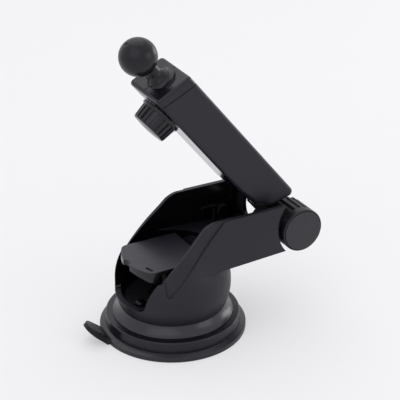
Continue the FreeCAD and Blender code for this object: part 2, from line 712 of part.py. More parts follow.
def shell_screws():
    """Two screws driven from the far side into the near shell's posts."""
    screws = []
    for name, reach, height in (("low", "low_post_reach", "low_post_height"),
                                ("high", "high_post_reach", "high_post_height")):
        item = screw(f"shell_screw_{name}", "screw_head_radius", "screw_head_height",
                     "screw_shank_radius", shell_screw_seat(name) + " + shell_screw_reach")
        place(item, reach, shell_screw_seat(name), height, Vector(1, 0, 0), "-90")
        screws.append(item)
    keep(group("shell_screw_set", screws), "shell_screws")


# ---------------------------------------------------------------- suction stem and lever

def suction_stem():
    """Steel stem with its foot plate in the cup's well and a cross hole for the lever pin."""
    foot_top = "foot_plate_low + foot_plate_thickness"
    body = turned(
        "suction_stem",
        ("0", "foot_plate_low"), ("foot_plate_radius", "foot_plate_low"),
        ("foot_plate_radius", foot_top), ("stem_radius", foot_top), ("stem_radius", "stem_top"),
        ("0", "stem_top"),
    )
    soften(body, "0.6", circle_at("stem_radius", "stem_top"), chamfer=True)
    hole = ring_line(new_sketch(body, "XZ_Plane"), "pin_radius + 0.02", "0", "lever_pivot")
    pocket(body, hole, FAR, both=True)
    keep(body, "suction_stem")


def stem_bush():
    body = turned(
        "stem_bush",
        ("stem_radius + slide_gap", "guide_low"), ("bush_radius", "guide_low"),
        ("bush_radius", "floor_top"), ("stem_radius + slide_gap", "floor_top"),
    )
    keep(body, "stem_bush")


def wear_plate():
    """Steel washer that the cams press on."""
    body = turned(
        "wear_plate",
        ("stem_radius + 0.5", "floor_top"), ("wear_radius", "floor_top"),
        ("wear_radius", "floor_top + wear_thickness"),
        ("stem_radius + 0.5", "floor_top + wear_thickness"),
    )
    keep(body, "wear_plate")


def return_spring():
    """Cone spring washer between the foot plate and the hub."""
    low = "foot_plate_low + foot_plate_thickness + spring_clearance"
    high = "guide_low - spring_clearance"
    body = turned(
        "return_spring",
        ("stem_radius + 0.4", f"{high} - spring_wall"), ("foot_plate_radius - 0.3", low),
        ("foot_plate_radius - 0.3", f"{low} + spring_wall"), ("stem_radius + 0.4", high),
    )
    keep(body, "return_spring")


def lever_pin():
    body = turned("lever_pin", ("0", "-pin_half"), ("pin_radius", "-pin_half"),
                  ("pin_radius", "pin_half"), ("0", "pin_half"))
    place(body, z="lever_pivot", axis=Vector(1, 0, 0), angle="90")
    keep(body, "lever_pin")


def release_lever():
    """Lever with a flat top, an arched front lip and two cams on the pin."""
    body = new_body("release_lever")
    front_x = "-sqrt(lever_front_radius ^ 2 - lever_half ^ 2)"
    plan = outline(
        new_sketch(body, "XY_Plane", "lever_top - lever_pivot"),
        (front_x, "-lever_half"), ("lever_back", "-lever_half"), ("lever_back", "lever_half"),
        (front_x, "lever_half"), ("arc", "-lever_front_radius", "0"),
    )
    pad(body, plan, "lever_plate", back=True)
    inner_x = "-sqrt((lever_front_radius - lip_wall) ^ 2 - lever_half ^ 2)"
    lip = outline(
        new_sketch(body, "XY_Plane", "lever_top - lever_pivot - 0.5"),
        (front_x, "-lever_half"), (inner_x, "-lever_half"),
        ("arc", "-lever_front_radius + lip_wall", "0"), (inner_x, "lever_half"),
        (front_x, "lever_half"), ("arc", "-lever_front_radius", "0"),
    )
    pad(body, lip, "lever_top - lip_low - 0.5", back=True)

    def front_corner(edge):
        box = edge.BoundBox
        upright = near(box.XLength, 0) and near(box.YLength, 0) and box.ZLength > 1
        return upright and box.XMax < number(front_x) + 1

    soften(body, "lever_corner", front_corner)
    arch = outline(
        new_sketch(body, "YZ_Plane", "0"),
        ("-lever_half - 1", "lip_low - lever_pivot - 2"), ("-lever_half - 1", "lip_low - lever_pivot"),
        ("arc", "0", "lip_arch - lever_pivot"), ("lever_half + 1", "lip_low - lever_pivot"),
        ("lever_half + 1", "lip_low - lever_pivot - 2"),
    )
    pocket(body, arch, FAR)
    notch = outline(
        new_sketch(body, "XY_Plane", "lever_top - lever_pivot"),
        ("-lever_front_radius - 2", "-thumb_notch_half - 0.6"),
        ("-lever_front_radius + 0.3", "-thumb_notch_half"),
        ("arc", "-lever_front_radius + thumb_notch_depth", "0"),
        ("-lever_front_radius + 0.3", "thumb_notch_half"),
        ("-lever_front_radius - 2", "thumb_notch_half + 0.6"),
    )
    pocket(body, notch, "lever_top - lip_low + 1")
    mark = outline(
        new_sketch(body, "XY_Plane", "lever_top - lever_pivot"),
        ("-slot_reach", "-slot_offset - slot_half"),
        ("-slot_reach + slot_width", "-slot_offset - slot_half"),
        ("-slot_reach - 1 + slot_width", "-slot_offset + slot_half"),
        ("-slot_reach - 1", "-slot_offset + slot_half"),
    )
    pocket(body, mark, "slot_depth")
    for side in ("-1", "1"):
        middle = f"({side}) * (cheek_inner + cheek_outer) / 2"
        web = outline(
            new_sketch(body, "XZ_Plane", f"-({middle})"),
            ("-cheek_front", "-cam_drop"), ("cheek_back", "-cam_drop"),
            ("cheek_back", "lever_top - lever_pivot - lever_plate / 2"),
            ("-cheek_front", "lever_top - lever_pivot - lever_plate / 2"),
        )
        pad(body, web, "cheek_outer - cheek_inner", both=True)
        cam = ring_line(new_sketch(body, "XZ_Plane", f"-({middle})"), "cam_radius", "-cam_back",
                        "-cam_drop")
        pad(body, cam, "cheek_outer - cheek_inner", both=True)
    hole = ring_line(new_sketch(body, "XZ_Plane"), "pin_radius + slide_gap", "0", "0")
    pocket(body, hole, FAR, both=True)

    place(body, z="lever_pivot")
    keep(body, "release_lever")


# ---------------------------------------------------------------- arm hinge

def hinge_bracket():
    """Tongue that stands on the trough floor and holds the hinge, on the far side of the ear."""
    body = new_body("hinge_bracket")
    near_face = "ear_far + turn_gap + disc_thickness"
    middle = f"{near_face} + bracket_thickness / 2"
    foot_top = "trough_floor + bracket_foot_thickness"
    tangent = "bracket_radius * 0.7071"
    blade = outline(
        new_sketch(body, "XZ_Plane", f"-({middle})"),
        ("bracket_back", "trough_floor"), ("far_end_centre - end_radius * 0.85", "trough_floor"),
        ("pivot_reach - bracket_radius * 0.6", "pivot_height - bracket_radius * 0.8"),
        ("pivot_reach", "pivot_height"),
        (f"pivot_reach - {tangent}", f"pivot_height + {tangent}"),
        ("bracket_back + 18", f"{foot_top} + 2.6"), ("bracket_back + 3", f"{foot_top} + 1.6"),
        ("bracket_back", foot_top),
    )
    pad(body, blade, "bracket_thickness", both=True)
    pad(body, ring_line(new_sketch(body, "XZ_Plane", f"-({middle})"), "bracket_radius",
                        "pivot_reach", "pivot_height"), "bracket_thickness", both=True)
    foot = outline(
        new_sketch(body, "XY_Plane", "trough_floor"),
        ("bracket_foot_back", "-bracket_foot_half"), ("bracket_foot_front", "-bracket_foot_half"),
        ("bracket_foot_front", "bracket_foot_half"), ("bracket_foot_back", "bracket_foot_half"),
    )
    pad(body, foot, "bracket_foot_thickness")
    bore = ring_line(new_sketch(body, "XZ_Plane"), "bolt_radius + 0.05", "pivot_reach", "pivot_height")
    pocket(body, bore, FAR, both=True)
    holes = new_sketch(body, "XY_Plane", foot_top)
    for x in BRACKET_SCREWS:
        ring_line(holes, "screw_shank_radius + 0.1", x, "-bracket_screw_side")
    pocket(body, holes, "bracket_foot_thickness + 1")
    keep(body, "hinge_bracket")


def bracket_screws():
    screws = []
    for index, x in enumerate(BRACKET_SCREWS, start=1):
        item = screw(f"bracket_screw_{index}", "screw_head_radius", "screw_head_height",
                     "screw_shank_radius", "bracket_foot_thickness + bracket_screw_bite")
        place(item, x, "-bracket_screw_side", "trough_floor + bracket_foot_thickness")
        screws.append(item)
    keep(group("bracket_screw_set", screws), "bracket_screws")


def pivot_bolt():
    """Bolt through the bracket and the ear; its hexagonal head is on the far side."""
    head_seat = "-(ear_far + turn_gap + disc_thickness + bracket_thickness)"
    body = turned(
        "pivot_bolt",
        ("0", head_seat), ("bolt_radius", head_seat), ("bolt_radius", "bolt_reach - 0.8"),
        ("bolt_radius - 0.8", "bolt_reach"), ("0", "bolt_reach"),
    )
    points = [(f"bolt_head_radius * cos({60 * i} * 1deg)", f"bolt_head_radius * sin({60 * i} * 1deg)")
              for i in range(6)]
    pad(body, outline(new_sketch(body, "XY_Plane", head_seat), *points), "bolt_head_height", back=True)
    on_hinge(body)
    keep(body, "pivot_bolt")


def friction_disc():
    body = turned(
        "friction_disc",
        ("bolt_radius + 0.3", "-(ear_far + turn_gap + disc_thickness)"),
        ("washer_radius", "-(ear_far + turn_gap + disc_thickness)"),
        ("washer_radius", "-(ear_far + turn_gap)"), ("bolt_radius + 0.3", "-(ear_far + turn_gap)"),
    )
    on_hinge(body)
    keep(body, "friction_disc")


def thrust_washer():
    start = "ear_near + turn_gap"
    body = turned(
        "thrust_washer",
        ("bolt_radius + slide_gap", start), ("washer_radius", start),
        ("washer_radius", f"{start} + washer_thickness"),
        ("bolt_radius + slide_gap", f"{start} + washer_thickness"),
    )
    on_hinge(body)
    keep(body, "thrust_washer")


def knob_start():
    return "ear_near + turn_gap + washer_thickness + turn_gap"


def pivot_knob():
    """Long fluted hand knob with a smooth collar at its outer end."""
    start = knob_start()
    body = turned(
        "pivot_knob",
        ("insert_radius + 0.05", start), ("knob_radius - 0.7", start),
        ("knob_radius", f"{start} + 0.7"), ("knob_radius", "knob_near"),
        ("cap_disc_radius + fit_gap", "knob_near"),
        ("cap_disc_radius + fit_gap", "knob_near - cap_disc_thickness + cap_disc_proud"),
        ("0", "knob_near - cap_disc_thickness + cap_disc_proud"),
        ("0", "insert_start + insert_length"),
        ("insert_radius + 0.05", "insert_start + insert_length"),
    )
    soften(body, "0.5", circle_at("knob_radius", "knob_near"))
    flute = ring_line(new_sketch(body, "XY_Plane", "knob_near - knob_collar"), "flute_radius",
                      "knob_radius + flute_radius - flute_depth")
    around(body, pocket(body, flute), "flute_count")
    on_hinge(body)
    keep(body, "pivot_knob")


def knob_cap():
    body = turned(
        "knob_cap",
        ("0", "knob_near - cap_disc_thickness + cap_disc_proud"),
        ("cap_disc_radius", "knob_near - cap_disc_thickness + cap_disc_proud"),
        ("cap_disc_radius", "knob_near + cap_disc_proud"), ("0", "knob_near + cap_disc_proud"),
    )
    soften(body, "0.25", circle_at("cap_disc_radius", "knob_near + cap_disc_proud"))
    on_hinge(body)
    keep(body, "knob_cap")


def knob_insert():
    """Brass threaded insert pressed into the knob."""
    body = turned(
        "knob_insert",
        ("bolt_radius + slide_gap", "insert_start"), ("insert_radius", "insert_start"),
        ("insert_radius", "insert_start + insert_length"),
        ("bolt_radius + slide_gap", "insert_start + insert_length"),
    )
    on_hinge(body)
    keep(body, "knob_insert")


# ---------------------------------------------------------------- arm casing

def arm_side(sketch, under, back, low="0", high="0"):
    """The casing's side outline; under and back shrink it, low and high move its ends."""
    return outline(
        sketch,
        (f"arm_back - ({back})", f"casing_low_back + ({low})"),
        ("-casing_corner_in", f"casing_corner + ({low})"),
        (f"-casing_curve_in + ({under})", f"casing_curve + ({low})"),
        (f"-arm_under + ({under})", f"casing_straight + ({low})"),
        (f"-arm_under + ({under})", f"seam_under + ({high})"),
        (f"arm_back - ({back})", f"seam_back + ({high})"),
    )


def upright_edge(edge):
    """Edges of the side outline seen flat on, at the arm's two side faces."""
    box = edge.BoundBox
    return near(box.YLength, 0) and near(abs(box.YMax), "arm_half")


def pivot_ear():
    """Flat ear on the hinge with a neck and a flange held between the casing halves."""
    body = new_body("pivot_ear")
    middle = "(ear_near - ear_far) / 2"
    thickness = "ear_near + ear_far"
    disc = ring_line(new_sketch(body, "XZ_Plane", middle), "ear_radius")
    pad(body, disc, thickness, both=True)
    neck = outline(
        new_sketch(body, "XZ_Plane", middle),
        ("-neck_under", "0"), ("neck_back", "0"), ("neck_back", "flange_high"),
        ("-neck_under + 2.5", "flange_high"), ("-neck_under", "neck_top - 1"),
    )
    pad(body, neck, thickness, both=True)
    flange = outline(
        new_sketch(body, "XY_Plane", "neck_top"),
        ("-neck_under + 2.8", "-flange_half"), ("neck_back - 1", "-flange_half"),
        ("neck_back - 1", "flange_half"), ("-neck_under + 2.8", "flange_half"),
    )
    pad(body, flange, "flange_high - neck_top")
    bore = ring_line(new_sketch(body, "XZ_Plane"), "bolt_radius + slide_gap")
    pocket(body, bore, FAR, both=True)
    in_arm(body)
    keep(body, "pivot_ear")


def casing_screw_places():
    return [f"casing_screw_first + {index} * casing_screw_pitch" for index in range(3)]


def casing_halves():
    """Near and far halves of the outer tube, split at the middle plane."""
    blank = new_body("casing")
    pad(blank, arm_side(new_sketch(blank, "XZ_Plane"), "0", "0"), "2 * arm_half", both=True)

    def corner(edge):
        box = edge.BoundBox
        across = near(box.YLength, "2 * arm_half") and near(box.XLength, 0)
        return across and near(box.ZMin, "casing_corner")

    soften(blank, "casing_corner_radius", corner)

    def back_corner(edge):
        box = edge.BoundBox
        return near(box.YLength, "2 * arm_half") and near(box.XMin, "arm_back") and near(
            box.ZMax, "casing_low_back")

    soften(blank, "casing_back_radius", back_corner)

    def long_side(edge):
        box = edge.BoundBox
        top = near(box.ZMax, "seam_under", 0.1) and near(box.ZMin, "seam_back", 0.1)
        return upright_edge(edge) and not top

    soften(blank, "casing_edge", long_side)
    cavity = block("casing_cavity", "-arm_under + casing_wall", "arm_back - back_wall",
                   "-arm_half + casing_wall", "arm_half - casing_wall", "cavity_low", "seam_under + 9")
    slot = block("casing_slot", "-neck_under - 0.1", "neck_back + 0.1", "-ear_near - 0.1",
                 "ear_far + 0.1", "0", "cavity_low + 1")
    flange = block("casing_flange_slot", "-neck_under + 2.7", "neck_back - 0.9", "-flange_half - 0.1",
                   "flange_half + 0.1", "neck_top - 0.1", "cavity_low + 1")
    shoe_hole = block("casing_shoe_window", "-arm_under - 1", "-arm_under + casing_wall + 1",
                      "-shoe_half - rail_gap", "shoe_half + rail_gap",
                      "lock_height - shoe_half - rail_gap", "lock_height + shoe_half + rail_gap")
    nut_seat = rod("casing_nut_seat", "nut_radius + 0.05", "arm_under + 2 - nut_low", x="-nut_low",
                   z="lock_height", axis=Vector(0, 1, 0), angle="-90")
    screw_x = "arm_back - casing_screw_inset"
    holes = []
    for index, height in enumerate(casing_screw_places()):
        holes.append(y_rod(f"casing_screw_hole_{index}", "casing_screw_radius + 0.05", screw_x, height,
                           "-arm_half + 2", "arm_half + 1"))
        holes.append(y_rod(f"casing_screw_sink_{index}", "casing_head_radius + 0.15", screw_x, height,
                           "arm_half - casing_head_depth", "arm_half + 1"))
    spaces = fuse("casing_spaces", cavity, slot, flange, shoe_hole, nut_seat, *holes)
    solid = cut("casing_hollow", blank, spaces)
    for label, y0, y1 in (("arm_casing_near", "-60", "-seam_gap / 3"), ("arm_casing_far", "seam_gap / 3",
                                                                      "60")):
        half = common(label + "_half", solid, block(label + "_side", "-60", "60", y0, y1, "0", "160"))
        in_arm(half)
        keep(half, label)


def casing_screws():
    """Three long screws in the thick back wall."""
    screws = []
    for index, height in enumerate(casing_screw_places(), start=1):
        item = screw(f"casing_screw_{index}", "casing_head_radius", "1.6", "casing_screw_radius",
                     "2 * arm_half - casing_head_depth - 3.5")
        place(item, "arm_back - casing_screw_inset", "arm_half - casing_head_depth", height,
              Vector(1, 0, 0), "-90")
        screws.append(item)
    keep(in_arm(group("casing_screw_set", screws)), "casing_screws")


# ---------------------------------------------------------------- slider, cap and ball

def slider_rail():
    """Inner bar with a rack for the lock and a narrower tongue that the cap is fixed to."""
    body = new_body("slider_rail")
    under = "-arm_under + casing_wall + rail_gap"
    back = "arm_back - back_wall - rail_gap"
    half = "arm_half - casing_wall - rail_gap"
    bar = outline(
        new_sketch(body, "XY_Plane", "rail_low"),
        (under, f"-({half})"), (back, f"-({half})"), (back, half), (under, half),
    )
    pad(body, bar, "rail_top - rail_low")
    tongue = outline(
        new_sketch(body, "XY_Plane", "rail_top"),
        (f"{under} + tongue_inset", f"-({half}) + tongue_inset"),
        (f"{back} - tongue_inset", f"-({half}) + tongue_inset"),
        (f"{back} - tongue_inset", f"({half}) - tongue_inset"),
        (f"{under} + tongue_inset", f"({half}) - tongue_inset"),
    )
    pad(body, tongue, "tongue_top - rail_top")
    tooth = outline(
        new_sketch(body, "XZ_Plane"),
        (f"{under} - 1", "rack_first"), (f"{under}", "rack_first"),
        (f"{under} + rack_depth", "rack_first + rack_width / 2"),
        (f"{under}", "rack_first + rack_width"), (f"{under} - 1", "rack_first + rack_width"),
    )
    groove = pocket(body, tooth, "2 * rack_half", both=True)
    pattern = body.newObject("PartDesign::LinearPattern", "rack_pattern")
    pattern.Originals = [groove]
    pattern.Direction = (tooth, ["V_Axis"])
    bind(pattern, "Length", "rack_pitch * (rack_count - 1)")
    bind(pattern, "Occurrences", "rack_count")
    body.Tip = pattern
    bore = ring_line(new_sketch(body, "XY_Plane", "tongue_top"), "stud_bolt_radius + 0.05",
                     "ball_offset")
    pocket(body, bore, "tongue_top - rail_top + 6")
    side_holes = new_sketch(body, "XZ_Plane", f"-({half})")
    for x in CAP_SCREWS:
        ring_line(side_holes, "cap_screw_radius + 0.05", x, "cap_screw_height")
    pocket(body, side_holes, f"{half} - arm_half + cap_screw_inset + cap_screw_length + 0.1", back=True)
    keep(in_arm(body), "slider_rail")


CAP_SCREWS = ("ball_offset - 3.2", "ball_offset + 1.2")


def cap_rise(x):
    """Height of the cap's slanted top at a place across the arm."""
    return f"(cap_under_top - (({x}) + arm_under) * (cap_under_top - cap_back_top) / (arm_under + arm_back))"


def end_cap():
    """Cap with a rounded rim, hollow underneath, and a flared seat for the ball stud."""
    body = new_body("end_cap")
    side = outline(
        new_sketch(body, "XZ_Plane"),
        ("-arm_under", "seam_under + cap_gap"), ("-arm_under", "cap_under_top + 3"),
        ("arm_back", "cap_under_top + 3"), ("arm_back", "seam_back + cap_gap"),
    )
    pad(body, side, "2 * arm_half", both=True)

    def corner(edge):
        box = edge.BoundBox
        return near(box.XLength, 0) and near(box.YLength, 0) and box.ZLength > 2

    soften(body, "casing_edge", corner)
    fall = "((cap_under_top - cap_back_top) / (arm_under + arm_back))"
    rise = "(cap_far_rise / arm_half)"
    lean = f"atan(sqrt({fall} ^ 2 + {rise} ^ 2))"
    plane = new_sketch(body, "XY_Plane", cap_rise("0"))
    turn = Rotation(Vector(number(rise), number(fall), 0), number(lean))
    plane.AttachmentOffset = FreeCAD.Placement(Vector(0, 0, number(cap_rise("0"))), turn)
    bind(plane, "AttachmentOffset.Rotation.Angle", lean)
    outline(plane, ("-arm_half * 3", "-arm_half * 3"), ("arm_half * 3", "-arm_half * 3"),
            ("arm_half * 3", "arm_half * 3"), ("-arm_half * 3", "arm_half * 3"))
    pocket(body, plane, FAR, back=True)

    def top_rim(edge):
        return all(near(vertex.Z, f"{cap_rise(vertex.X)} + {rise} * ({vertex.Y})")
                   for vertex in edge.Vertexes)

    soften(body, "cap_edge", top_rim)
    crease = outline(
        new_sketch(body, "XZ_Plane"),
        ("-arm_under - 1", cap_rise("-arm_under - 1") + " + 0.5"),
        ("-arm_under - 1", cap_rise("-arm_under - 1") + " - crease_depth"),
        ("arm_back + 1", cap_rise("arm_back + 1") + " - crease_depth"),
        ("arm_back + 1", cap_rise("arm_back + 1") + " + 0.5"),
    )
    pocket(body, crease, "crease_width", both=True)
    boss_sketch = outline(
        new_sketch(body, "XZ_Plane"),
        ("0", "cap_back_top"), ("cap_boss_radius", "cap_back_top"),
        ("cap_boss_radius", cap_rise("ball_offset") + " - 0.5"),
        ("arc", "(cap_boss_radius + neck_base_radius) / 2 - 0.35",
         f"({cap_rise('ball_offset')} - 0.5 + neck_base) / 2 - 0.25"),
        ("neck_base_radius", "neck_base"), ("0", "neck_base"),
    )
    bind(boss_sketch, "AttachmentOffset.Base.x", "ball_offset")
    revolve(body, boss_sketch)
    room = new_sketch(body, "XY_Plane", "seam_back")
    low = "-arm_under + casing_wall + rail_gap + tongue_inset - 0.05"
    high = "arm_back - back_wall - rail_gap - tongue_inset + 0.05"
    half = "(arm_half - casing_wall - rail_gap - tongue_inset + 0.05)"
    outline(room, (low, f"-{half}"), (high, f"-{half}"), (high, half), (low, half))
    pocket(body, room, "tongue_top + 0.05 - seam_back", back=True)
    bore = ring_line(new_sketch(body, "XY_Plane", "neck_base"), "stud_bolt_radius + 0.05", "ball_offset")
    pocket(body, bore, "neck_base - tongue_top + 1")
    holes = new_sketch(body, "XZ_Plane", "-arm_half")
    sinks = new_sketch(body, "XZ_Plane", "-arm_half")
    for x in CAP_SCREWS:
        ring_line(holes, "cap_screw_radius + 0.1", x, "cap_screw_height")
        ring_line(sinks, "cap_screw_head + 0.1", x, "cap_screw_height")
    pocket(body, holes, "5", back=True)
    pocket(body, sinks, "cap_screw_inset", back=True)
    keep(in_arm(body), "end_cap")


def cap_screws():
    """Two small screws that hold the cap on the tongue."""
    screws = []
    for index, x in enumerate(CAP_SCREWS, start=1):
        item = screw(f"cap_screw_{index}", "cap_screw_head", "1.1", "cap_screw_radius",
                     "cap_screw_length")
        place(item, x, "arm_half - cap_screw_inset", "cap_screw_height", Vector(1, 0, 0), "-90")
        screws.append(item)
    keep(in_arm(group("cap_screw_set", screws)), "cap_screws")


def ball_stud():
    """Ball on a flared neck, with a bolt pressed into the slider."""
    join = "ball_height - sqrt(ball_radius ^ 2 - neck_radius ^ 2)"
    top = "ball_height + sqrt(ball_radius ^ 2 - dimple_radius ^ 2)"
    body = turned(
        "ball_stud",
        ("0", "stud_low"), ("stud_bolt_radius", "stud_low"), ("stud_bolt_radius", "neck_base"),
        ("neck_base_radius", "neck_base"),
        ("arc", "neck_radius + 0.4", "neck_waist - 1.7"), ("neck_radius", "neck_waist"),
        ("neck_radius", join), ("arc", "ball_radius", "ball_height"), ("dimple_radius", top),
        ("arc", "dimple_radius * 0.6", f"{top} - dimple_depth * 0.7"), ("0.3", f"{top} - dimple_depth"),
        ("0", f"{top} - dimple_depth"),
    )
    place(body, "ball_offset")
    keep(in_arm(group("ball_stud_set", [body])), "ball_stud")


# ---------------------------------------------------------------- extension lock

def clamp_shoe():
    """Square shoe in the underside wall; it presses on the rack."""
    body = new_body("clamp_shoe")
    plan = outline(
        new_sketch(body, "XY_Plane", "shoe_low"),
        ("-shoe_half", "-shoe_half"), ("shoe_half", "-shoe_half"),
        ("shoe_half", "shoe_half"), ("-shoe_half", "shoe_half"),
    )
    pad(body, plan, "shoe_thickness")
    bore = ring_line(new_sketch(body, "XY_Plane", "shoe_low + shoe_thickness"),
                     "lock_tip_radius + slide_gap")
    pocket(body, bore, "shoe_thickness + 1")
    keep(on_lock(body), "clamp_shoe")


def lock_nut():
    body = turned(
        "lock_nut",
        ("lock_screw_radius + slide_gap", "nut_low"), ("nut_radius", "nut_low"),
        ("nut_radius", "nut_high"), ("lock_screw_radius + slide_gap", "nut_high"),
    )
    soften(body, "0.3", circle_at("nut_radius", "nut_high"), chamfer=True)
    keep(on_lock(body), "lock_nut")


def extension_screw():
    body = turned(
        "extension_screw",
        ("0", "shoe_low + 0.15"), ("lock_tip_radius", "shoe_low + 0.15"),
        ("lock_tip_radius", "shoe_low + shoe_thickness + 0.15"),
        ("lock_screw_radius", "shoe_low + shoe_thickness + 0.15"),
        ("lock_screw_radius", "nut_high + 0.4"), ("lock_press_radius", "nut_high + 0.4"),
        ("lock_press_radius", "lock_press_high"), ("0", "lock_press_high"),
    )
    keep(on_lock(body), "extension_screw")


def extension_knob():
    """Ribbed knob with a thin collar and a slightly domed glossy face."""
    foot = "arm_under + lock_gap"
    face = f"{foot} + lock_length"
    body = turned(
        "extension_knob",
        ("nut_radius + 0.4", foot), ("lock_collar_radius", foot),
        ("lock_collar_radius", f"{foot} + lock_collar - 0.3"),
        ("lock_collar_radius - 0.3", f"{foot} + lock_collar"),
        ("lock_radius", f"{foot} + lock_collar"), ("lock_face_radius + 0.35", f"{face} - 0.6"),
        ("lock_face_radius", face),
        ("arc", "lock_face_radius * 0.55", f"{face} + lock_dome * 0.7"), ("0.5", f"{face} + lock_dome"),
        ("0", f"{face} + lock_dome"),
        ("0", "lock_press_high + 0.05"), ("lock_press_radius + 0.02", "lock_press_high + 0.05"),
        ("lock_press_radius + 0.02", "nut_high + 0.4"), ("nut_radius + 0.4", "nut_high + 0.4"),
    )
    groove = outline(
        new_sketch(body, "XZ_Plane", "0"),
        ("lock_radius - lock_groove", f"{foot} + lock_collar + 0.3"),
        ("lock_radius + 1", f"{foot} + lock_collar + 0.3"),
        ("lock_face_radius + 1.6", f"{face} - 0.75"),
        ("lock_face_radius - lock_groove + 0.35", f"{face} - 0.75"),
    )
    slot = pocket(body, groove, "lock_slot", both=True)
    pattern = body.newObject("PartDesign::PolarPattern", "lock_pattern")
    pattern.Originals = [slot]
    pattern.Axis = (groove, ["V_Axis"])
    pattern.Angle = 360.0
    bind(pattern, "Occurrences", "lock_ribs")
    body.Tip = pattern
    keep(on_lock(body), "extension_knob")


for make in (suction_cup, gel_layer, pressure_ring, flared_skirt, base_plate, base_screws, shells,
             shell_screws, suction_stem, stem_bush, wear_plate, return_spring, lever_pin,
             release_lever, hinge_bracket, bracket_screws, pivot_bolt, friction_disc, thrust_washer,
             pivot_knob, knob_cap, knob_insert, pivot_ear, casing_halves, casing_screws, slider_rail,
             end_cap, cap_screws, ball_stud, clamp_shoe, lock_nut, extension_screw, extension_knob):
    make()


def write_parts():
    """Check every object, then write one STEP file for each finished piece."""
    document.recompute()
    broken = [item.Label for item in document.Objects if {"Invalid", "Error"} & set(item.State)]
    if broken:
        raise RuntimeError("failed objects: " + ", ".join(broken))
    os.makedirs("parts", exist_ok=True)
    for piece in NODES:
        shape = piece.Shape
        if shape.isNull() or not shape.isValid() or not shape.Solids:
            raise RuntimeError(f"{piece.Label} has no valid shape")
        shape.exportStep(os.path.join("parts", piece.Label + ".step"))
        print(f"{piece.Label}: {len(shape.Solids)} solid(s), {shape.Volume:.0f} mm3")


write_parts()
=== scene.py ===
"""Looks of the suction phone mount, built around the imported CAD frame. Units are metres."""

import json
import math

import bpy
from mathutils import Matrix, Vector


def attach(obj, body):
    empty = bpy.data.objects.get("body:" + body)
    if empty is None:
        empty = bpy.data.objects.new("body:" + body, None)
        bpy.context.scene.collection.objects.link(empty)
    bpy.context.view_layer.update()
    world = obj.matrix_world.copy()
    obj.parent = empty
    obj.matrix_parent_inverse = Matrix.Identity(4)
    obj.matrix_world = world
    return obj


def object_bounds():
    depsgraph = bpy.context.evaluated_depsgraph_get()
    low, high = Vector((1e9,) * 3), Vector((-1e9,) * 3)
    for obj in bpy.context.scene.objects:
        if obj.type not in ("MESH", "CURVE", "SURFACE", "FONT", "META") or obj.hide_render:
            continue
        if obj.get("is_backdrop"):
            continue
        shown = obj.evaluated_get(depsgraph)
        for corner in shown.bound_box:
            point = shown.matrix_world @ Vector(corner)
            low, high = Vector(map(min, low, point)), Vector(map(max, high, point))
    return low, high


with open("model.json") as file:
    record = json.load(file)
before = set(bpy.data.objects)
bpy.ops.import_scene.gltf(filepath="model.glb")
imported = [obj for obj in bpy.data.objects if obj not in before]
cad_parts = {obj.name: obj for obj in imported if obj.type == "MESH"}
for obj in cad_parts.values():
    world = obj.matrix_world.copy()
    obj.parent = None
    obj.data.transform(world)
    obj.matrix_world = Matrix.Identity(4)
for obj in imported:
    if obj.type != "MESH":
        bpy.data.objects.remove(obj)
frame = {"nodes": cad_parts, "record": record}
scene = bpy.context.scene
scene.view_settings.view_transform = "Standard"
MM = 0.001


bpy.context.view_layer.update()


# ---------------------------------------------------------------- materials

def new_material(name):
    material = bpy.data.materials.new(name)
    material.use_nodes = True
    tree = material.node_tree
    tree.nodes.clear()
    out = tree.nodes.new("ShaderNodeOutputMaterial")
    shader = tree.nodes.new("ShaderNodeBsdfPrincipled")
    tree.links.new(shader.outputs["BSDF"], out.inputs["Surface"])
    return material, tree, shader


def noise(tree, scale, detail=2.0, rough=0.5):
    """Noise in the row frame, with its scale in cells per metre."""
    where = tree.nodes.new("ShaderNodeTexCoord")
    node = tree.nodes.new("ShaderNodeTexNoise")
    node.inputs["Scale"].default_value = scale
    node.inputs["Detail"].default_value = detail
    node.inputs["Roughness"].default_value = rough
    tree.links.new(where.outputs["Object"], node.inputs["Vector"])
    return node


def between(tree, source, low, high, start=0.3, stop=0.7):
    """Map a noise's factor to a range of values."""
    node = tree.nodes.new("ShaderNodeMapRange")
    node.inputs["From Min"].default_value = start
    node.inputs["From Max"].default_value = stop
    node.inputs["To Min"].default_value = low
    node.inputs["To Max"].default_value = high
    tree.links.new(source, node.inputs["Value"])
    return node.outputs["Result"]


def tint(tree, source, first, second):
    node = tree.nodes.new("ShaderNodeMix")
    node.data_type = "RGBA"
    node.inputs[6].default_value = (*first, 1)
    node.inputs[7].default_value = (*second, 1)
    tree.links.new(source, node.inputs[0])
    return node.outputs[2]


def bump(tree, shader, height, strength, distance, edge=0.0):
    """Fine relief on the surface; edge is how far a sharp corner's shading is eased."""
    node = tree.nodes.new("ShaderNodeBump")
    node.inputs["Strength"].default_value = strength
    node.inputs["Distance"].default_value = distance
    tree.links.new(height, node.inputs["Height"])
    tree.links.new(node.outputs["Normal"], shader.inputs["Normal"])
    if edge:
        ease = tree.nodes.new("ShaderNodeBevel")
        ease.samples = 6
        ease.inputs["Radius"].default_value = edge
        tree.links.new(ease.outputs["Normal"], node.inputs["Normal"])


def facing(tree, direction, low, high):
    """1 where the surface faces a direction of the row frame, 0 where it doesn't."""
    where = tree.nodes.new("ShaderNodeTexCoord")
    dot = tree.nodes.new("ShaderNodeVectorMath")
    dot.operation = "DOT_PRODUCT"
    dot.inputs[1].default_value = direction
    tree.links.new(where.outputs["Normal"], dot.inputs[0])
    return between(tree, dot.outputs["Value"], 0, 1, low, high)


